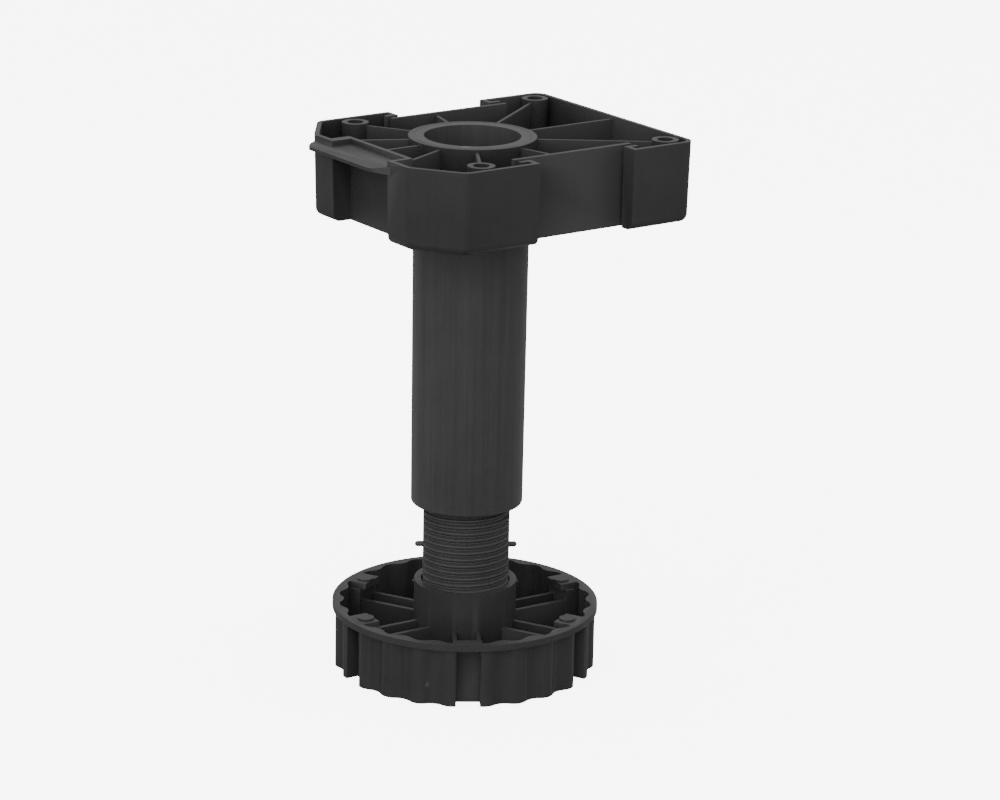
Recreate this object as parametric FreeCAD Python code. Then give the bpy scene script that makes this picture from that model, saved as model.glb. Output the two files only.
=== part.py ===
"""Adjustable cabinet leg, 100 mm high: an open moulded head, a plain tube pushed into it, and a threaded
spindle that stands in a round ribbed foot and screws up and down inside the tube.

Millimetres. Z is the leg's axis, z = 0 the floor and +Z up. +X runs along the head, away from its lip.
"""
import FreeCAD
import Part
import math
import os

from FreeCAD import Vector

# the leg as it stands
LEG_HEIGHT = 100.0
TRAVEL_DOWN = 18.0
TRAVEL_UP = 10.0

# the head: an open tray with one long and one short end about the leg's axis
HEAD_HEIGHT = 14.8
HEAD_WIDTH = 48.0
AXIS_TO_LIP_FACE = 24.0
AXIS_TO_FAR_FACE = 32.0
LIP_CORNER_ALONG = 6.4
LIP_CORNER_ACROSS = 9.0
LIP_CORNER_SOFTENING = 2.5
FAR_CORNER_RADIUS = 2.4
HEAD_WALL = 0.9
HEAD_FLOOR = 1.2
HEAD_DRAFT = 0.34
CAVITY_DRAFT = 0.2
BOTTOM_ROUNDING = 1.4

# the four screw bosses, on a square
SCREW_PATTERN = 40.0
PATTERN_FROM_AXIS = 8.0
BOSS_RADIUS = 2.45
SCREW_HOLE_RADIUS = 1.45

# the socket for the tube and the ribs that reach out from it
SOCKET_WALL = 1.15
RIB = 0.6
RIB_DROP = 0.45

# the hooked slot in each long side
SLOT_OPENING = 20.4
SLOT_DEPTH = 4.45
HOOK_DEPTH = 2.35
HOOK_LENGTH = 2.5
SLOT_END_WALL_DROP = 3.0
SLOT_RIB_FROM_MIDDLE = 3.0

# the recess and the lip on the short side
RECESS_DEPTH = 3.9
RECESS_FROM = -8.7
RECESS_TO = 8.9
RECESS_POST = 1.9
LIP_FROM = -9.8
LIP_TO = 14.3
LIP_REACH = 2.3
LIP_BELOW_RIM = 0.9
LIP_FALL = 0.65
LIP_TIP = 0.6
LIP_ROOT = 1.5
LIP_CORNER_RADIUS = 1.8
LIP_END_TAPER = 3.4
LIP_ROOT_RADIUS = 0.1

# the tube
TUBE_TOP_RADIUS = 10.5
TUBE_MOUTH_RADIUS = 10.28
TUBE_MOUTH_HEIGHT = 31.4
TUBE_SEAT_STEP = 0.1
TUBE_WALL = 1.67
TUBE_MOUTH_ROUNDING = 0.35
NUT_LENGTH = 27.0
NUT_HELD_AT_LOWEST = 11.0
MOUTH_RELIEF_WALL = 0.7
PEG_STOP_ROOM = 0.1

# the spindle
SPINDLE_RADIUS = 8.2
SPINDLE_FLAT = 7.9
SPINDLE_WALL = 3.3
PEG_RADIUS = 0.52
PEG_REACH = 9.45
PEG_HEIGHT = 22.8

# the foot, turned about the axis as it happens to stand under the head
FOOT_TURN = -32.8
FOOT_HEIGHT = 12.0
FOOT_RIM_RADIUS = 24.6
FOOT_RIM = 1.2
FOOT_FLOOR = 1.5
FLUTES = 24
FLUTE_CREST = 24.2
FLUTE_DEPTH = 0.95
FLUTE_WALL = 0.8
HUB_WALL = 1.27
HUB_TOP = 16.15
HUB_BEAD_RADIUS = 0.35
HUB_BEAD_REACH = 0.3
FOOT_SPOKES = 6
SPOKE_GAP = 4.4
SPOKE = 0.8
SPOKE_TOP = 8.8
PANEL_WIDTH = 4.35
PANEL_FLOOR = 21.6
PANEL_WALL = 0.9
PANEL_ROOF_LAP = 0.3
PANEL_ROOF_DROP = 0.4
PANELS_WITHOUT_PAD = (90.0, 270.0)
PAD_REACH = 19.8
PIN_RADIUS = 1.5
PIN_CENTRE = 21.3
PIN_HEIGHT = 0.3

# fits
RUNNING_CLEARANCE = 0.08
SEAT_CLEARANCE = 0.02
END_CLEARANCE = 0.05

# what follows from the sizes above
HEAD_BASE = LEG_HEIGHT - HEAD_HEIGHT
HALF_WIDTH = HEAD_WIDTH / 2
TUBE_SEAT_RADIUS = TUBE_TOP_RADIUS - TUBE_SEAT_STEP
SOCKET_RADIUS = TUBE_SEAT_RADIUS + SEAT_CLEARANCE
SOCKET_OUTER = SOCKET_RADIUS + SOCKET_WALL
TUBE_BORE = TUBE_SEAT_RADIUS - TUBE_WALL
NUT_RADIUS = SPINDLE_RADIUS + RUNNING_CLEARANCE
HUB_BORE = SPINDLE_RADIUS + SEAT_CLEARANCE
HUB_RADIUS = HUB_BORE + HUB_WALL
SLOT_BACK = HALF_WIDTH - SLOT_DEPTH
RECESS_BACK = AXIS_TO_LIP_FACE - RECESS_DEPTH
SPOKE_OFFSET = SPOKE_GAP / 2
PEG_STOP = PEG_HEIGHT + PEG_RADIUS + TRAVEL_UP + PEG_STOP_ROOM
SPINDLE_TOP = PEG_STOP + NUT_HELD_AT_LOWEST + TRAVEL_DOWN
RIM_UNDERSIDE = FOOT_HEIGHT - FOOT_RIM
PAST = 1.0


def box(x0, x1, y0, y1, z0, z1):
    """A block between two corners."""
    return Part.makeBox(x1 - x0, y1 - y0, z1 - z0, Vector(x0, y0, z0))


def rod(radius, z0, z1, x=0.0, y=0.0):
    """An upright cylinder."""
    return Part.makeCylinder(radius, z1 - z0, Vector(x, y, z0))


def turned(shape, degrees):
    """A copy turned about the leg's axis."""
    copy = shape.copy()
    copy.rotate(Vector(0, 0, 0), Vector(0, 0, 1), degrees)
    return copy


def joined(shapes):
    """One solid from shapes that meet."""
    return shapes[0].multiFuse(shapes[1:]).removeSplitter()


def inset(corners, distance):
    """The corners of a convex outline, listed anticlockwise, with every side moved inwards."""
    moved = []
    for i, corner in enumerate(corners):
        before = (corner - corners[i - 1]).normalize()
        after = (corners[(i + 1) % len(corners)] - corner).normalize()
        inward = Vector(-before.y, before.x, 0) + Vector(-after.y, after.x, 0)
        share = 2 * distance / inward.Length ** 2
        moved.append(corner + inward * share)
    return moved


def rounded_outline(corners, radii, z):
    """A closed wire at height z through a convex outline whose corners are arcs."""
    edges = []
    starts, ends = [], []
    for i, corner in enumerate(corners):
        to_before = (corners[i - 1] - corner).normalize()
        to_after = (corners[(i + 1) % len(corners)] - corner).normalize()
        half = to_before.getAngle(to_after) / 2
        back = radii[i] / math.tan(half)
        centre = corner + (to_before + to_after).normalize() * (radii[i] / math.sin(half))
        middle = centre + (corner - centre).normalize() * radii[i]
        first, last = corner + to_before * back, corner + to_after * back
        starts.append(first)
        ends.append(last)
        lift = Vector(0, 0, z)
        edges.append(Part.Arc(first + lift, middle + lift, last + lift).toShape())
    for i, end in enumerate(ends):
        lift = Vector(0, 0, z)
        edges.append(Part.LineSegment(end + lift, starts[(i + 1) % len(starts)] + lift).toShape())
    return Part.Wire(Part.__sortEdges__(edges))


def head_wire(distance, z):
    """The tray's outline at height z, moved inwards by a distance."""
    lip, far = -AXIS_TO_LIP_FACE, AXIS_TO_FAR_FACE
    corners = [
        Vector(lip, HALF_WIDTH - LIP_CORNER_ACROSS, 0),
        Vector(lip, LIP_CORNER_ACROSS - HALF_WIDTH, 0),
        Vector(lip + LIP_CORNER_ALONG, -HALF_WIDTH, 0),
        Vector(far, -HALF_WIDTH, 0),
        Vector(far, HALF_WIDTH, 0),
        Vector(lip + LIP_CORNER_ALONG, HALF_WIDTH, 0),
    ]
    soft, round_far = LIP_CORNER_SOFTENING, FAR_CORNER_RADIUS - distance
    radii = [soft, soft, soft, round_far, round_far, soft]
    return rounded_outline(inset(corners, distance), radii, z)


def head_block():
    """The head's outside as a full block: drafted sides and a rounded lower edge."""
    block = Part.makeLoft([head_wire(HEAD_DRAFT, HEAD_BASE), head_wire(0, LEG_HEIGHT)], True, True)
    lower_edges = [e for e in block.Edges if e.BoundBox.Center.z < HEAD_BASE + BOTTOM_ROUNDING / 2]
    return block.makeFillet(BOTTOM_ROUNDING, lower_edges)


def tray_cavity():
    """The room inside the tray's walls, above its floor."""
    floor_inset = HEAD_DRAFT + HEAD_WALL + CAVITY_DRAFT
    return Part.makeLoft(
        [head_wire(floor_inset, HEAD_BASE + HEAD_FLOOR), head_wire(HEAD_WALL, LEG_HEIGHT)], True, True)


def boss_centres():
    """The four screw positions."""
    half = SCREW_PATTERN / 2
    return [(PATTERN_FROM_AXIS + i * half, j * half) for i in (-1, 1) for j in (-1, 1)]


def rib_to(x, y):
    """An upright rib from the socket to a point of the tray."""
    start = SOCKET_OUTER - SOCKET_WALL / 2
    length = math.hypot(x, y) - start
    rib = Part.makeBox(length, RIB, LEG_HEIGHT - RIB_DROP - HEAD_BASE, Vector(start, -RIB / 2, HEAD_BASE))
    return turned(rib, math.degrees(math.atan2(y, x)))


def rib_ends():
    """Where the ten ribs end: the bosses, the slot walls, the far wall and the recess wall."""
    half_wall = HEAD_WALL / 2
    ends = boss_centres()
    slot_x = PATTERN_FROM_AXIS - SLOT_RIB_FROM_MIDDLE
    ends += [(slot_x, side * (SLOT_BACK - half_wall)) for side in (-1, 1)]
    ends.append((AXIS_TO_FAR_FACE - HEAD_DRAFT - half_wall, 0))
    recess_x = half_wall - RECESS_BACK
    ends.append((recess_x, 0))
    ends += [(recess_x, RECESS_FROM - half_wall), (recess_x, RECESS_TO + half_wall)]
    return ends


def slot_walls():
    """The walls of the hooked slot on the +Y side: its back, the two hooks and the low walls at its ends."""
    half, wall = SLOT_OPENING / 2, HEAD_WALL
    hook_face = HALF_WIDTH - HOOK_DEPTH
    hook_back = hook_face - wall
    back_half = half + HOOK_LENGTH
    parts = [box(-back_half, back_half, SLOT_BACK - wall, SLOT_BACK, HEAD_BASE, LEG_HEIGHT)]
    for side in (-1, 1):
        inner, root = sorted((side * half, side * (half + wall)))
        parts.append(box(inner, root, hook_back, HALF_WIDTH, HEAD_BASE, LEG_HEIGHT))
        near, tip = sorted((side * half, side * back_half))
        parts.append(box(near, tip, hook_back, hook_face, HEAD_BASE, LEG_HEIGHT))
        near, tip = sorted((side * (back_half - wall), side * back_half))
        parts.append(box(near, tip, SLOT_BACK - wall, hook_back, HEAD_BASE, LEG_HEIGHT - SLOT_END_WALL_DROP))
    walls = joined(parts)
    walls.translate(Vector(PATTERN_FROM_AXIS, 0, 0))
    return walls


def slot_opening():
    """What the hooked slot on the +Y side leaves open, down through the floor: the gap in the outer wall and
    the room behind the hooks."""
    half, below, above = SLOT_OPENING / 2, HEAD_BASE - PAST, LEG_HEIGHT + PAST
    behind = half + HOOK_LENGTH - HEAD_WALL
    gap = joined([
        box(-half, half, SLOT_BACK, HALF_WIDTH + PAST, below, above),
        box(-behind, behind, SLOT_BACK, HALF_WIDTH - HOOK_DEPTH - HEAD_WALL, below, above),
    ])
    gap.translate(Vector(PATTERN_FROM_AXIS, 0, 0))
    return gap


def across(shape):
    """The same shape on the other long side."""
    return shape.mirror(Vector(0, 0, 0), Vector(0, 1, 0))


def recess_walls():
    """The walls behind and beside the recess under the lip."""
    outer = -AXIS_TO_LIP_FACE
    back = -RECESS_BACK
    low, high = HEAD_BASE, LEG_HEIGHT
    return [
        box(back, back + HEAD_WALL, RECESS_FROM - HEAD_WALL, RECESS_TO + RECESS_POST, low, high),
        box(outer, back, RECESS_FROM - HEAD_WALL, RECESS_FROM, low, high),
        box(outer, back, RECESS_TO, RECESS_TO + RECESS_POST, low, high),
    ]


def lip():
    """The lip: a shelf over the recess and a ramp that reaches out past the wall; one end of the ramp is
    rounded and the other tapers off."""
    face = -AXIS_TO_LIP_FACE
    top = LEG_HEIGHT - LIP_BELOW_RIM
    tip_top = top - LIP_FALL
    inside = face + HEAD_WALL
    section = [
        (inside, top), (face, top), (face - LIP_REACH, tip_top),
        (face - LIP_REACH, tip_top - LIP_TIP), (face, top - LIP_ROOT), (inside, top - LIP_ROOT),
    ]
    points = [Vector(x, LIP_FROM, z) for x, z in section]
    ramp = Part.Face(Part.makePolygon(points + points[:1])).extrude(Vector(0, LIP_TO - LIP_FROM, 0))
    tip, root = face - LIP_REACH, inside
    spots = [(tip, LIP_TO), (tip, LIP_FROM + LIP_END_TAPER), (face, LIP_FROM), (root, LIP_FROM), (root, LIP_TO)]
    plan = [Vector(x, y, 0) for x, y in spots]
    radii = [LIP_CORNER_RADIUS] * 2 + [LIP_ROOT_RADIUS] * 3
    outline = rounded_outline(plan, radii, top - 2 * LIP_ROOT)
    ramp = ramp.common(Part.Face(outline).extrude(Vector(0, 0, 2 * LIP_ROOT)))
    shelf = box(inside, -RECESS_BACK, RECESS_FROM, RECESS_TO, top - LIP_ROOT, top)
    return [ramp, shelf]


def head():
    """The whole head, one moulding: its block, hollowed round everything that stands in the tray."""
    standing = [rod(SOCKET_OUTER, HEAD_BASE, LEG_HEIGHT)]
    standing += [rod(BOSS_RADIUS, HEAD_BASE, LEG_HEIGHT, x, y) for x, y in boss_centres()]
    standing += [rib_to(x, y) for x, y in rib_ends()]
    standing += [slot_walls(), across(slot_walls())]
    standing += recess_walls()
    below, above = HEAD_BASE - PAST, LEG_HEIGHT + PAST
    opening = slot_opening()
    recess = box(-AXIS_TO_LIP_FACE - PAST, -RECESS_BACK, RECESS_FROM, RECESS_TO, below, above)
    cuts = [opening, across(opening), recess, rod(SOCKET_RADIUS, below, above)]
    cuts += [rod(SCREW_HOLE_RADIUS, below, above, x, y) for x, y in boss_centres()]
    room = tray_cavity().cut(joined(standing))
    body = head_block().cut(room).cut(Part.makeCompound(cuts))
    return joined([body] + lip())


def revolved(profile):
    """A solid of revolution about the leg's axis from (radius, height) points."""
    points = [Vector(r, 0, z) for r, z in profile]
    face = Part.Face(Part.makePolygon(points + points[:1]))
    return face.revolve(Vector(0, 0, 0), Vector(0, 0, 1), 360)


def leg_tube():
    """The tube: tapered outside, a seat for the socket at its top and the threaded length near its mouth."""
    mouth = TUBE_MOUTH_HEIGHT
    relief_radius = TUBE_MOUTH_RADIUS - MOUTH_RELIEF_WALL
    nut_top = PEG_STOP + NUT_LENGTH
    shoulder = HEAD_BASE - END_CLEARANCE
    rounding = TUBE_MOUTH_ROUNDING
    return revolved([
        (relief_radius, mouth), (TUBE_MOUTH_RADIUS - rounding, mouth), (TUBE_MOUTH_RADIUS, mouth + rounding),
        (TUBE_TOP_RADIUS, shoulder), (TUBE_SEAT_RADIUS, shoulder), (TUBE_SEAT_RADIUS, LEG_HEIGHT),
        (TUBE_BORE, LEG_HEIGHT), (TUBE_BORE, nut_top + (TUBE_BORE - NUT_RADIUS)), (NUT_RADIUS, nut_top),
        (NUT_RADIUS, PEG_STOP), (relief_radius, PEG_STOP),
    ])


def spindle():
    """The spindle: a hollow stem with two flats and two small pegs, closed at the top."""
    low, high = FOOT_FLOOR + SEAT_CLEARANCE, SPINDLE_TOP
    flat, radius = SPINDLE_FLAT, SPINDLE_RADIUS
    stem = rod(radius, low, high).common(box(-flat, flat, -radius, radius, low, high))
    peg = Part.makeCylinder(PEG_RADIUS, 2 * PEG_REACH, Vector(-PEG_REACH, 0, PEG_HEIGHT), Vector(1, 0, 0))
    stem = joined([stem, peg])
    core = rod(radius - SPINDLE_WALL, low - PAST, high - SPINDLE_WALL)
    return turned(stem.cut(core), FOOT_TURN)


def fluted_wire(distance, z):
    """The skirt's outline at height z, moved inwards by a distance: one arc round every crest and one in
    every groove."""
    crest = FLUTE_CREST - distance
    groove, between = crest - FLUTE_DEPTH, crest - FLUTE_DEPTH / 2
    count = 2 * FLUTES
    pitch = 2 * math.pi / count
    edges = []
    for i in range(count):
        peak = crest if i % 2 else groove
        spots = [(between, i * pitch - pitch / 2), (peak, i * pitch), (between, i * pitch + pitch / 2)]
        a, b, c = [Vector(r * math.cos(t), r * math.sin(t), z) for r, t in spots]
        edges.append(Part.Arc(a, b, c).toShape())
    return Part.Wire(edges)


def spoke_angles():
    """The directions of the paired ribs, and of the panels in the skirt that they lead to."""
    step = 360.0 / FOOT_SPOKES
    return [step / 2 + i * step for i in range(FOOT_SPOKES)]


def has_pad(angle):
    """Whether the panel in this direction carries a pad and a pin."""
    return angle not in PANELS_WITHOUT_PAD


def foot_skirt():
    """The fluted skirt, with a rim whose outer edge is round."""
    outside = Part.Face(fluted_wire(0, 0)).extrude(Vector(0, 0, FOOT_HEIGHT))
    rim = rod(FOOT_RIM_RADIUS, RIM_UNDERSIDE, FOOT_HEIGHT)
    inside = Part.Face(fluted_wire(FLUTE_WALL, FOOT_FLOOR))
    return joined([outside, rim]).cut(inside.extrude(Vector(0, 0, FOOT_HEIGHT)))


def panel(angle):
    """One recessed panel in the skirt, as (what is added inside, what is cut outside), before turning."""
    half, wall = PANEL_WIDTH / 2, PANEL_WALL
    back, skirt = PANEL_FLOOR - wall, FLUTE_CREST - FLUTE_WALL / 2
    roof_half = half + PANEL_ROOF_LAP
    roof_from, roof_top = (PAD_REACH, FOOT_HEIGHT) if has_pad(angle) else (back, FOOT_HEIGHT - PANEL_ROOF_DROP)
    added = [
        box(back, skirt, -half - wall, half + wall, 0, RIM_UNDERSIDE),
        box(roof_from, skirt, -roof_half, roof_half, RIM_UNDERSIDE, roof_top),
    ]
    if has_pad(angle):
        added.append(rod(PIN_RADIUS, RIM_UNDERSIDE, FOOT_HEIGHT + PIN_HEIGHT, PIN_CENTRE, 0))
    cut = box(PANEL_FLOOR, FOOT_RIM_RADIUS + PAST, -half, half, -PAST, RIM_UNDERSIDE)
    return [turned(s, angle) for s in added], turned(cut, angle)


def spoke_pair(angle):
    """Two parallel ribs from the hub to the skirt."""
    start, end = HUB_BORE + HUB_WALL / 2, PANEL_FLOOR - PANEL_WALL / 2
    pair = [
        box(start, end, y - SPOKE / 2, y + SPOKE / 2, 0, SPOKE_TOP)
        for y in (-SPOKE_OFFSET, SPOKE_OFFSET)
    ]
    return [turned(s, angle) for s in pair]


def foot():
    """The foot: a dish with a fluted skirt, a hub for the spindle and six pairs of ribs."""
    solid = [foot_skirt(), rod(HUB_RADIUS, 0, HUB_TOP)]
    bead_end, bead_z = HUB_RADIUS + HUB_BEAD_REACH, HUB_TOP - 2 * HUB_BEAD_RADIUS
    beads = Part.makeCylinder(HUB_BEAD_RADIUS, 2 * bead_end, Vector(-bead_end, 0, bead_z), Vector(1, 0, 0))
    solid.append(beads)
    cuts = [rod(HUB_BORE, FOOT_FLOOR, HUB_TOP + PAST)]
    for angle in spoke_angles():
        added, cut = panel(angle)
        solid += added + spoke_pair(angle)
        cuts.append(cut)
    whole = joined(solid).cut(Part.makeCompound(cuts))
    return turned(whole, FOOT_TURN)


def main():
    """Builds every piece and writes it."""
    os.makedirs("parts", exist_ok=True)
    for name, make in (("head", head), ("leg_tube", leg_tube), ("spindle", spindle), ("foot", foot)):
        shape = make()
        print(name, "solids", len(shape.Solids), "valid", shape.isValid(), "faces", len(shape.Faces))
        shape.Solids[0].exportStep(f"parts/{name}.step")


main()
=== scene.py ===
"""Dresses the adjustable cabinet leg: dark moulded plastic, a threaded spindle, soft studio light.

Metres, in the frame of the solids: Z is the leg's axis, z = 0 the floor, and +X runs along the head, away
from its lip.
"""
import math

import bmesh
import bpy
import numpy as np
from mathutils import Matrix, Vector


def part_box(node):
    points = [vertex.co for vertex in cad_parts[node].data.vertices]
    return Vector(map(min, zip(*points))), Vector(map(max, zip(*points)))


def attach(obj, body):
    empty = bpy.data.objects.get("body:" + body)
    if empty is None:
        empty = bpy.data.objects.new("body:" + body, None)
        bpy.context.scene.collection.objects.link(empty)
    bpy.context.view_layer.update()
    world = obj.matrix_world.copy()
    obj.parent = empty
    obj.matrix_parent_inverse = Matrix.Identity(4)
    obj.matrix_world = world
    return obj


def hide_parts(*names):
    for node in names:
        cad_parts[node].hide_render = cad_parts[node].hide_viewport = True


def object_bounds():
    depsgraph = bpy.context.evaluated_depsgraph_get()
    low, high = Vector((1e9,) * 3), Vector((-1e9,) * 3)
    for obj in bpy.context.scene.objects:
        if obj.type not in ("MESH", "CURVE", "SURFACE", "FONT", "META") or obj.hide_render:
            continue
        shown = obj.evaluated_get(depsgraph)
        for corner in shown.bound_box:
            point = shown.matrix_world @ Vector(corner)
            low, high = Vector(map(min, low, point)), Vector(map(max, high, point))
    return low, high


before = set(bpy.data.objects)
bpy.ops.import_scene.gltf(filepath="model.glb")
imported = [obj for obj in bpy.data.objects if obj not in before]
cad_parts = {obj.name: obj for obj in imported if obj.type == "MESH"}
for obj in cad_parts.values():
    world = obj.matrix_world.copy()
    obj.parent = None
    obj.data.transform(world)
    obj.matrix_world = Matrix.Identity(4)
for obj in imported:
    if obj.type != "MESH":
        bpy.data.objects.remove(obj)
CAD_LOW, CAD_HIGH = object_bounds()

MM = 0.001

# the camera: where it stands, where it looks and how far it sees
CAMERA_PLACE = (-360.86 * MM, -517.88 * MM, 243.63 * MM)
VIEW_TURN = math.radians(35.396)
VIEW_DOWN = math.radians(16.997)
VIEW_ROLL = math.radians(1.107)
LENS_MM = 130.13
SENSOR_MM = 36.0
NEAREST_SEEN = 0.01
FARTHEST_SEEN = 20.0

# the spindle: a right-hand thread between two moulding flats
PITCH = 1.25 * MM
THREAD_RADIUS = 8.2 * MM
THREAD_DEPTH = 0.52 * MM
CREST_SHARE = 0.2
FLANK_SHARE = 0.16
LOW_RIDGE_HEIGHT = 0.5
LOW_RIDGE_SHARE = 0.06
FLAT_HALF_WIDTH = 7.9 * MM
SPINDLE_WALL = 3.3 * MM
TOP_CHAMFER = 0.8 * MM
FOOT_TURN = math.radians(-32.8)
PEG_RADIUS = 0.52 * MM
PEG_HEIGHT = 22.8 * MM
PEG_REACH = 9.45 * MM
AROUND = 120
ROWS_PER_PITCH = 16
PEG_CAP_ROWS = 7
PEG_AROUND = 24

# the tube
TUBE_MOUTH_RADIUS = 10.28 * MM
TUBE_SEAT_RADIUS = 10.4 * MM
TUBE_BORE = 8.73 * MM
NUT_RADIUS = 8.28 * MM
MOUTH_RELIEF_WALL = 0.7 * MM
PEG_STOP = 33.42 * MM
NUT_LENGTH = 27.0 * MM
MOUTH_ROUNDING = 0.35 * MM

# edges of the moulded pieces
EDGE_ROUNDING = 0.11 * MM
SHARP_ANGLE = math.radians(32)
EDGE_SEGMENTS = 2
SAME_FACE_ANGLE = math.radians(0.5)
MERGE = 1e-6

# the plastic
HEAD_BLACK = (0.0195, 0.0195, 0.02)
TUBE_BLACK = (0.031, 0.031, 0.0315)
SPINDLE_BLACK = (0.037, 0.037, 0.0375)
FOOT_BLACK = (0.0225, 0.0225, 0.023)
# painted highlight: the paler grey that convex edges are painted with
EDGE_HIGHLIGHT_GREY = (0.05, 0.05, 0.05, 1)
SCUFF_GREY = (0.12, 0.12, 0.12, 1)
RING_NICKS = ((-5.9 * MM, -6.7 * MM, 100 * MM), (1.1 * MM, 0.9 * MM, 0.6 * MM))
SKIRT_SCUFF = ((-18.5 * MM, -15.3 * MM, 3.7 * MM), (0.7 * MM, 0.7 * MM, 1.0 * MM))
PLASTIC_IOR = 1.28
PLASTIC_ROUGHNESS = 0.42
TUBE_ROUGHNESS = 0.4
TUBE_STREAKS = 1.1
SPINDLE_STREAKS = 0.1
MOULDED_STREAKS = 0.3
# how strongly convex edges get the painted highlight
EDGE_HIGHLIGHT_AMOUNT = 0.5
FINE_RELIEF = 0.02
TUBE_RELIEF = 0.03
RELIEF_DEPTH = 0.2 * MM
DULLING = -0.06
SHADE_RANGE = (-0.6, 0.6)
SHADE_LIFT = (0.75, 1.25)
CLOUD_RANGE = (0.3, 0.7)
CLOUD_SHADE = (-0.25, 0.25)

# the patterns on it: features per metre, how noise values are cut off, and how the scuffs lie
ALONG_STRETCH = 0.02
COARSE_STREAKS = 420.0
FINE_STREAKS = 1900.0
STREAK_RANGE = (0.6, 1.4)
STREAK_SHADE = (-0.5, 0.5)
GRAIN_SCALE = 5200.0
CLOUD_SCALE = 130.0
# how pointiness is cut off for the painted edge highlight
POINTED_RANGE = (0.52, 0.62)
MARK_STRIPES = 3000.0
MARK_FADE = (0.4, 1.0)
MARK_BREAKS = (0.42, 0.6)

# the room
FLOOR_HALF = 3.0
FLOOR_LIFT = 0.02 * MM
FLOOR_SEEN = 0.95
FLOOR_BOUNCE = 0.22
FLOOR_GLOW = 6.0
SKY_LOW = 0.45
SKY_HIGH = 1.5
SKY_RISE = (0.25, 0.9)
FLOOR_ROUGHNESS = 0.9

# each soft light: its name, its place in metres, its side in metres and its power in watts
SOFT_LIGHTS = (
    ("key_light", (-0.45, -0.35, 1.0), 1.2, 4.0),
    ("top_light", (0.25, 0.3, 1.3), 1.4, 4.0),
    ("front_fill", (-0.6, -0.95, 0.3), 1.2, 10.3),
    ("left_fill", (-1.1, -0.15, 0.4), 1.0, 7.0),
    ("right_fill", (0.95, -0.6, 0.4), 1.0, 4.5),
    ("back_fill", (-0.35, 1.15, 0.55), 1.0, 5.0),
)


def piece(name, vertices, faces, body, material):
    """A finished mesh at the origin, from vertex and face arrays, riding on a body."""
    mesh = bpy.data.meshes.new(name)
    mesh.from_pydata(vertices.tolist(), [], faces.tolist())
    tidy = bmesh.new()
    tidy.from_mesh(mesh)
    bmesh.ops.remove_doubles(tidy, verts=tidy.verts, dist=MERGE)
    bmesh.ops.recalc_face_normals(tidy, faces=tidy.faces)
    tidy.to_mesh(mesh)
    tidy.free()
    return shown(name, mesh, body, material)


def shown(name, mesh, body, material):
    """An object for a mesh, smooth but for its sharp edges, in its material and on its body."""
    mesh.polygons.foreach_set("use_smooth", np.ones(len(mesh.polygons), bool))
    mesh.set_sharp_from_angle(angle=SHARP_ANGLE)
    mesh.materials.clear()
    mesh.materials.append(material)
    obj = bpy.data.objects.new(name, mesh)
    bpy.context.collection.objects.link(obj)
    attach(obj, body)
    return obj


def grid_faces(rows, columns):
    """Four-sided faces between neighbours of a grid of rows by columns of points."""
    low = (np.arange(rows - 1)[:, None] * columns + np.arange(columns - 1)[None, :]).ravel()
    return np.stack([low, low + 1, low + columns + 1, low + columns], axis=1)


def turned_grid(radius, height):
    """Points at (radius, height) for every row of a profile and every column round the axis: the columns'
    angles run evenly from 0 to a full turn, and a point is (r cos t, r sin t, z)."""
    columns = radius.shape[1]
    angle = np.linspace(0, 2 * np.pi, columns)[None, :]
    points = np.stack([radius * np.cos(angle), radius * np.sin(angle), height], axis=-1)
    return points.reshape(-1, 3), grid_faces(*radius.shape)


def ridge(share, middle, width):
    """A ridge along the pitch, 1 on its flat top of the given width and 0 beyond its flanks, which ease in and
    out as a raised cosine does."""
    away = np.abs((share - middle + 0.5) % 1 - 0.5)
    return 0.5 + 0.5 * np.cos(np.pi * np.clip((away - width / 2) / FLANK_SHARE, 0, 1))


def thread_form(share):
    """How far out the thread stands at a share of its pitch, from 0 in the root to 1 on the crest: a flat
    crest, and a low narrow ridge half-way to the next one."""
    return ridge(share, 0, CREST_SHARE) + LOW_RIDGE_HEIGHT * ridge(share, 0.5, LOW_RIDGE_SHARE)


def spindle(material):
    """The threaded stem. Its rows climb with the thread, z = row + pitch * turn / full turn, so that crests
    stay crisp; past both ends the rows close into plain rings. Two strips are flat, at x = +-flat in the
    foot's own frame, where r = flat / |cos t|."""
    low, high = (corner.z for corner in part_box("spindle"))
    start, end = low + PITCH, high - TOP_CHAMFER
    turns = np.linspace(0, 1, AROUND + 1)[None, :]
    steps = int(math.ceil((end - start) / PITCH + 1) * ROWS_PER_PITCH) + 1
    step = np.arange(steps)[:, None] / ROWS_PER_PITCH - 1
    height = start + (step + turns) * PITCH
    inside = (height > start) & (height < end)
    root = THREAD_RADIUS - THREAD_DEPTH
    radius = np.where(inside, root + THREAD_DEPTH * thread_form(np.broadcast_to(step, height.shape)), root)
    height = np.clip(height, start, end)
    from_flat = np.abs(np.cos(turns * 2 * np.pi - FOOT_TURN))
    strip = from_flat > FLAT_HALF_WIDTH / THREAD_RADIUS
    radius = np.where(strip & inside, FLAT_HALF_WIDTH / from_flat, radius)
    ring = np.ones_like(turns)
    core = THREAD_RADIUS - SPINDLE_WALL
    before = [(0, high - SPINDLE_WALL), (core, high - SPINDLE_WALL), (core, low), (root, low)]
    after = [(root - TOP_CHAMFER / 2, high), (0, high)]
    radius = np.concatenate([r * ring for r, _ in before] + [radius] + [r * ring for r, _ in after])
    height = np.concatenate([z * ring for _, z in before] + [height] + [z * ring for _, z in after])
    stem_points, stem_faces = turned_grid(radius, height)
    peg_points, peg_faces = pegs()
    points = np.concatenate([stem_points, peg_points])
    faces = np.concatenate([stem_faces, peg_faces + len(stem_points)])
    made = piece("threaded_spindle", points, faces, "foot", material)
    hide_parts("spindle")
    return made


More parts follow.
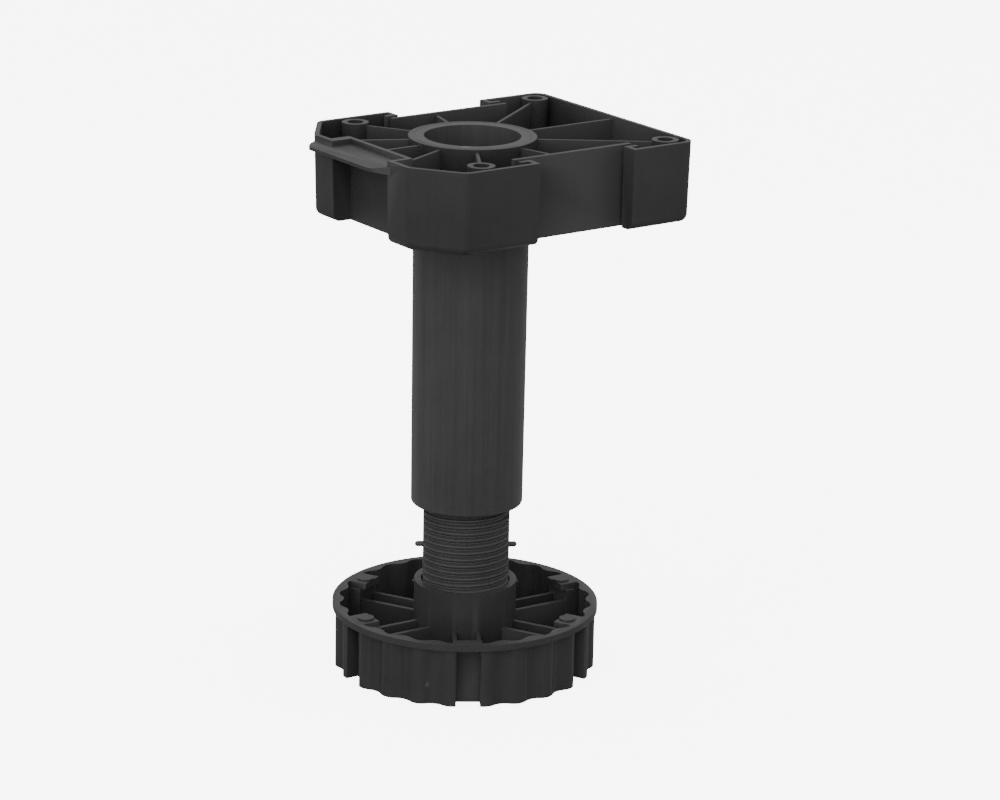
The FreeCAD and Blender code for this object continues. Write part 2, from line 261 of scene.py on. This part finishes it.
def pegs():
    """The two pegs as one rod through the stem: along the foot's x, of radius r but for its ends, which are
    half balls, r = sqrt(r0^2 - d^2) at a distance d past the last full section."""
    end = PEG_REACH - PEG_RADIUS
    cap = np.linspace(0, np.pi / 2, PEG_CAP_ROWS)
    along = np.concatenate([-end - PEG_RADIUS * np.cos(cap), end + PEG_RADIUS * np.sin(cap)])
    radius = np.concatenate([PEG_RADIUS * np.sin(cap), PEG_RADIUS * np.cos(cap)])
    angle = np.linspace(0, 2 * np.pi, PEG_AROUND + 1)[None, :]
    x = np.broadcast_to(along[:, None], (len(along), angle.shape[1]))
    y = radius[:, None] * np.cos(angle)
    z = PEG_HEIGHT + radius[:, None] * np.sin(angle)
    c, s = math.cos(FOOT_TURN), math.sin(FOOT_TURN)
    points = np.stack([x * c - y * s, x * s + y * c, z], axis=-1).reshape(-1, 3)
    return points, grid_faces(len(along), angle.shape[1])


def tube(material):
    """The tube, turned about the axis from the same profile as its solid."""
    low, high = (corner.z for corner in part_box("leg_tube"))
    top_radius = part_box("leg_tube")[1].x
    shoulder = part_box("head")[0].z
    relief = TUBE_MOUTH_RADIUS - MOUTH_RELIEF_WALL
    nut_top = PEG_STOP + NUT_LENGTH
    eased = MOUTH_ROUNDING * (1 - math.sqrt(0.5))
    profile = np.array([
        (relief, low), (TUBE_MOUTH_RADIUS - MOUTH_ROUNDING, low), (TUBE_MOUTH_RADIUS - eased, low + eased),
        (TUBE_MOUTH_RADIUS, low + MOUTH_ROUNDING), (top_radius, shoulder), (TUBE_SEAT_RADIUS, shoulder),
        (TUBE_SEAT_RADIUS, high), (TUBE_BORE, high), (TUBE_BORE, nut_top + TUBE_BORE - NUT_RADIUS),
        (NUT_RADIUS, nut_top), (NUT_RADIUS, PEG_STOP), (relief, PEG_STOP), (relief, low),
    ])
    ring = np.ones((1, AROUND + 1))
    points, faces = turned_grid(profile[:, :1] * ring, profile[:, 1:] * ring)
    made = piece("round_tube", points, faces, "tube", material)
    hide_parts("leg_tube")
    return made


def moulded(name, solid, body, material):
    """A copy of a solid's mesh with its triangles merged into whole faces and its edges slightly rounded."""
    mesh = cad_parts[solid].data.copy()
    mesh.name = name
    tidy = bmesh.new()
    tidy.from_mesh(mesh)
    bmesh.ops.remove_doubles(tidy, verts=tidy.verts, dist=MERGE)
    bmesh.ops.dissolve_limit(tidy, angle_limit=SAME_FACE_ANGLE, verts=tidy.verts, edges=tidy.edges)
    tidy.to_mesh(mesh)
    tidy.free()
    made = shown(name, mesh, body, material)
    bevel = made.modifiers.new("eased_edges", "BEVEL")
    bevel.width = EDGE_ROUNDING
    bevel.segments = EDGE_SEGMENTS
    bevel.limit_method = "ANGLE"
    bevel.angle_limit = SHARP_ANGLE
    bevel.use_clamp_overlap = True
    bevel.harden_normals = True
    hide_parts(solid)
    return made


def group(name, inputs, outputs):
    """An empty node group with named inputs (name, kind, value) and outputs (name, kind)."""
    tree = bpy.data.node_groups.new(name, "ShaderNodeTree")
    for label, kind, value in inputs:
        socket = tree.interface.new_socket(label, in_out="INPUT", socket_type=kind)
        socket.default_value = value
    for label, kind in outputs:
        tree.interface.new_socket(label, in_out="OUTPUT", socket_type=kind)
    return tree, tree.nodes.new("NodeGroupInput"), tree.nodes.new("NodeGroupOutput")


def node(tree, kind, inputs=None, **settings):
    """One shader node with its settings, and values or links for its inputs."""
    made = tree.nodes.new(kind)
    for key, value in settings.items():
        setattr(made, key, value)
    for key, value in (inputs or {}).items():
        if isinstance(value, bpy.types.NodeSocket):
            tree.links.new(value, made.inputs[key])
        else:
            made.inputs[key].default_value = value
    return made


def noise(tree, vector, scale, detail, roughness):
    """A noise texture's value."""
    made = node(tree, "ShaderNodeTexNoise", {"Vector": vector, "Scale": scale, "Detail": detail,
                                             "Roughness": roughness})
    return made.outputs["Fac"]


def between(tree, value, given, wanted):
    """A value's range carried to another range, clamped."""
    made = node(tree, "ShaderNodeMapRange", {"Value": value, "From Min": given[0], "From Max": given[1],
                                             "To Min": wanted[0], "To Max": wanted[1]})
    return made.outputs["Result"]


def streak_group():
    """Streaks that run up a drawn or moulded surface: noise that is stretched along the leg's axis."""
    tree, given, result = group("moulding_streaks", [("Amount", "NodeSocketFloat", 1.0)],
                                [("Value", "NodeSocketFloat")])
    place = node(tree, "ShaderNodeTexCoord").outputs["Object"]
    stretch = {"Vector": place, "Scale": (1.0, 1.0, ALONG_STRETCH)}
    stretched = node(tree, "ShaderNodeMapping", stretch).outputs["Vector"]
    coarse = noise(tree, stretched, COARSE_STREAKS, detail=3.0, roughness=0.6)
    fine = noise(tree, stretched, FINE_STREAKS, detail=2.0, roughness=0.5)
    both = node(tree, "ShaderNodeMath", {0: coarse, 1: fine}, operation="ADD").outputs[0]
    centred = between(tree, both, STREAK_RANGE, STREAK_SHADE)
    scaled = node(tree, "ShaderNodeMath", {0: centred, 1: given.outputs["Amount"]}, operation="MULTIPLY")
    tree.links.new(scaled.outputs[0], result.inputs["Value"])
    return tree


def grain_group():
    """The plastic's own skin: a fine grain and soft clouds, as values."""
    values = [("Grain", "NodeSocketFloat"), ("Clouds", "NodeSocketFloat")]
    tree, _, result = group("plastic_skin", [], values)
    place = node(tree, "ShaderNodeTexCoord").outputs["Object"]
    grain = noise(tree, place, GRAIN_SCALE, detail=2.0, roughness=0.6)
    clouds = noise(tree, place, CLOUD_SCALE, detail=4.0, roughness=0.6)
    tree.links.new(grain, result.inputs["Grain"])
    tree.links.new(clouds, result.inputs["Clouds"])
    return tree


def edge_highlight_group():
    """Painted highlight on edges: convex edges painted a little paler, from the surface's own pointiness, kept
    to convex edges.
    """
    tree, given, result = group("painted_edge_highlight", [("Amount", "NodeSocketFloat", 1.0)],
                                [("Mask", "NodeSocketFloat")])
    pointed = node(tree, "ShaderNodeNewGeometry").outputs["Pointiness"]
    mask = between(tree, pointed, POINTED_RANGE, (0.0, 1.0))
    scaled = node(tree, "ShaderNodeMath", {0: mask, 1: given.outputs["Amount"]}, operation="MULTIPLY")
    tree.links.new(scaled.outputs[0], result.inputs["Mask"])
    return tree


def mark_group():
    """A small scuffed place: 1 at its middle, fading to 0 at its reach, broken up by fine stripes."""
    tree, given, result = group("scuff_mark", [
        ("Middle", "NodeSocketVector", (0, 0, 0)), ("Reach", "NodeSocketVector", (1, 1, 1)),
        ("Stripes", "NodeSocketFloat", MARK_STRIPES),
    ], [("Mask", "NodeSocketFloat")])
    place = node(tree, "ShaderNodeTexCoord").outputs["Object"]
    away = node(tree, "ShaderNodeVectorMath", {0: place, 1: given.outputs["Middle"]}, operation="SUBTRACT")
    reach = given.outputs["Reach"]
    share = node(tree, "ShaderNodeVectorMath", {0: away.outputs[0], 1: reach}, operation="DIVIDE")
    length = node(tree, "ShaderNodeVectorMath", {0: share.outputs[0]}, operation="LENGTH").outputs["Value"]
    spot = between(tree, length, MARK_FADE, (1.0, 0.0))
    broken = noise(tree, place, given.outputs["Stripes"], detail=1.0, roughness=0.5)
    stripes = between(tree, broken, MARK_BREAKS, (0.0, 1.0))
    both = node(tree, "ShaderNodeMath", {0: spot, 1: stripes}, operation="MULTIPLY").outputs[0]
    tree.links.new(both, result.inputs["Mask"])
    return tree


def plastic(name, groups, black, roughness=PLASTIC_ROUGHNESS, streaks=MOULDED_STREAKS, bump=FINE_RELIEF,
            scuff=None):
    """Dark moulded plastic: near-black, with clouds and streaks in its colour and its gloss, and a painted
    highlight on convex edges. A scuffed place is given by its middle and its reach."""
    material = bpy.data.materials.new(name)
    material.use_nodes = True
    tree = material.node_tree
    shader = tree.nodes["Principled BSDF"]
    streak = node(tree, "ShaderNodeGroup", node_tree=groups["streaks"])
    streak.inputs["Amount"].default_value = streaks
    skin = node(tree, "ShaderNodeGroup", node_tree=groups["skin"])
    edge = node(tree, "ShaderNodeGroup", node_tree=groups["edge"])
    edge.inputs["Amount"].default_value = EDGE_HIGHLIGHT_AMOUNT
    cloud = between(tree, skin.outputs["Clouds"], CLOUD_RANGE, CLOUD_SHADE)
    shade = node(tree, "ShaderNodeMath", {0: cloud, 1: streak.outputs["Value"]}, operation="ADD").outputs[0]
    lift = between(tree, shade, SHADE_RANGE, SHADE_LIFT)
    tinted = node(tree, "ShaderNodeVectorMath", {0: black, "Scale": lift}, operation="SCALE")
    # painted highlight: convex edges mixed towards a paler grey
    highlit_edges = node(tree, "ShaderNodeMix", data_type="RGBA")
    tree.links.new(edge.outputs["Mask"], highlit_edges.inputs["Factor"])
    tree.links.new(tinted.outputs[0], highlit_edges.inputs["A"])
    highlit_edges.inputs["B"].default_value = EDGE_HIGHLIGHT_GREY
    colour = highlit_edges.outputs["Result"]
    if scuff:
        mark = node(tree, "ShaderNodeGroup", node_tree=groups["mark"])
        mark.inputs["Middle"].default_value, mark.inputs["Reach"].default_value = scuff
        pale = node(tree, "ShaderNodeMix", data_type="RGBA")
        tree.links.new(mark.outputs["Mask"], pale.inputs["Factor"])
        tree.links.new(colour, pale.inputs["A"])
        pale.inputs["B"].default_value = SCUFF_GREY
        colour = pale.outputs["Result"]
    tree.links.new(colour, shader.inputs["Base Color"])
    dull = node(tree, "ShaderNodeMath", {0: shade, 1: DULLING}, operation="MULTIPLY").outputs[0]
    rough = node(tree, "ShaderNodeMath", {0: dull, 1: roughness}, operation="ADD").outputs[0]
    tree.links.new(rough, shader.inputs["Roughness"])
    uneven = node(tree, "ShaderNodeMath", {0: skin.outputs["Grain"], 1: streak.outputs["Value"]},
                  operation="ADD").outputs[0]
    relief = node(tree, "ShaderNodeBump", {"Strength": bump, "Distance": RELIEF_DEPTH, "Height": uneven})
    tree.links.new(relief.outputs["Normal"], shader.inputs["Normal"])
    shader.inputs["IOR"].default_value = PLASTIC_IOR
    return material


def pale_floor():
    """A matt white floor: the camera sees it bright, and it throws only part of its light back on the leg.
    From below it is clear, so that the leg's underside can be seen."""
    material = bpy.data.materials.new("pale_floor")
    material.use_nodes = True
    tree = material.node_tree
    shader = tree.nodes["Principled BSDF"]
    seen = node(tree, "ShaderNodeLightPath").outputs["Is Camera Ray"]
    grey = between(tree, seen, (0.0, 1.0), (FLOOR_BOUNCE, FLOOR_SEEN))
    glow = between(tree, seen, (0.0, 1.0), (0.0, FLOOR_GLOW))
    colour = node(tree, "ShaderNodeCombineColor", {"Red": grey, "Green": grey, "Blue": grey})
    tree.links.new(colour.outputs["Color"], shader.inputs["Base Color"])
    tree.links.new(glow, shader.inputs["Emission Strength"])
    shader.inputs["Emission Color"].default_value = (1, 1, 1, 1)
    shader.inputs["Roughness"].default_value = FLOOR_ROUGHNESS
    shader.inputs["Specular IOR Level"].default_value = 0.0
    from_below = node(tree, "ShaderNodeNewGeometry").outputs["Backfacing"]
    clear = node(tree, "ShaderNodeBsdfTransparent").outputs["BSDF"]
    both = node(tree, "ShaderNodeMixShader", {0: from_below, 1: shader.outputs["BSDF"], 2: clear})
    tree.links.new(both.outputs[0], tree.nodes["Material Output"].inputs["Surface"])
    return material


def studio():
    """A pale floor that follows the foot, a sky that is brighter overhead, and the soft lights."""
    half = FLOOR_HALF
    mesh = bpy.data.meshes.new("studio_floor")
    corners = [(x, y, FLOOR_LIFT) for x, y in ((-half, -half), (half, -half), (half, half), (-half, half))]
    mesh.from_pydata(corners, [], [(0, 1, 2, 3)])
    mesh.materials.append(pale_floor())
    floor = bpy.data.objects.new("studio_floor", mesh)
    bpy.context.collection.objects.link(floor)
    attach(floor, "foot")
    world = bpy.data.worlds.new("studio_sky")
    world.use_nodes = True
    tree = world.node_tree
    direction = node(tree, "ShaderNodeTexCoord").outputs["Generated"]
    rise = node(tree, "ShaderNodeSeparateXYZ", {"Vector": direction}).outputs["Z"]
    sky = tree.nodes["Background"]
    tree.links.new(between(tree, rise, SKY_RISE, (SKY_LOW, SKY_HIGH)), sky.inputs["Strength"])
    sky.inputs["Color"].default_value = (1, 1, 1, 1)
    bpy.context.scene.world = world
    for name, place, size, power in SOFT_LIGHTS:
        soft_light(name, place, size, power)


def soft_light(name, place, size, power):
    """A square soft light that looks at the middle of the leg."""
    data = bpy.data.lights.new(name, "AREA")
    data.size = size
    data.energy = power
    light = bpy.data.objects.new(name, data)
    bpy.context.collection.objects.link(light)
    middle = (CAD_LOW + CAD_HIGH) / 2
    towards = (middle - Vector(place)).to_track_quat("-Z", "Y")
    light.matrix_world = Matrix.Translation(place) @ towards.to_matrix().to_4x4()


def camera():
    """The photograph's view: its place in the leg's frame, then turned, tilted down and rolled."""
    data = bpy.data.cameras.new("photo_camera")
    data.lens = LENS_MM
    data.sensor_width = SENSOR_MM
    data.sensor_fit = "HORIZONTAL"
    data.clip_start = NEAREST_SEEN
    data.clip_end = FARTHEST_SEEN
    view = bpy.data.objects.new("photo_camera", data)
    bpy.context.collection.objects.link(view)
    turn = Matrix.Rotation(-VIEW_TURN, 4, "Z")
    tilt = Matrix.Rotation(math.pi / 2 - VIEW_DOWN, 4, "X")
    roll = Matrix.Rotation(VIEW_ROLL, 4, "Z")
    view.matrix_world = Matrix.Translation(CAMERA_PLACE) @ turn @ tilt @ roll
    bpy.context.scene.camera = view


def dress():
    """Every piece of the leg in its material."""
    groups = {"streaks": streak_group(), "skin": grain_group(), "edge": edge_highlight_group(), "mark": mark_group()}
    moulded("ribbed_head", "head", "head", plastic("head_black", groups, HEAD_BLACK))
    tube(plastic("tube_black", groups, TUBE_BLACK, TUBE_ROUGHNESS, TUBE_STREAKS, TUBE_RELIEF, RING_NICKS))
    spindle(plastic("spindle_black", groups, SPINDLE_BLACK, streaks=SPINDLE_STREAKS))
    foot_black = plastic("foot_black", groups, FOOT_BLACK, scuff=SKIRT_SCUFF)
    moulded("fluted_foot", "foot", "foot", foot_black)


dress()
studio()
camera()
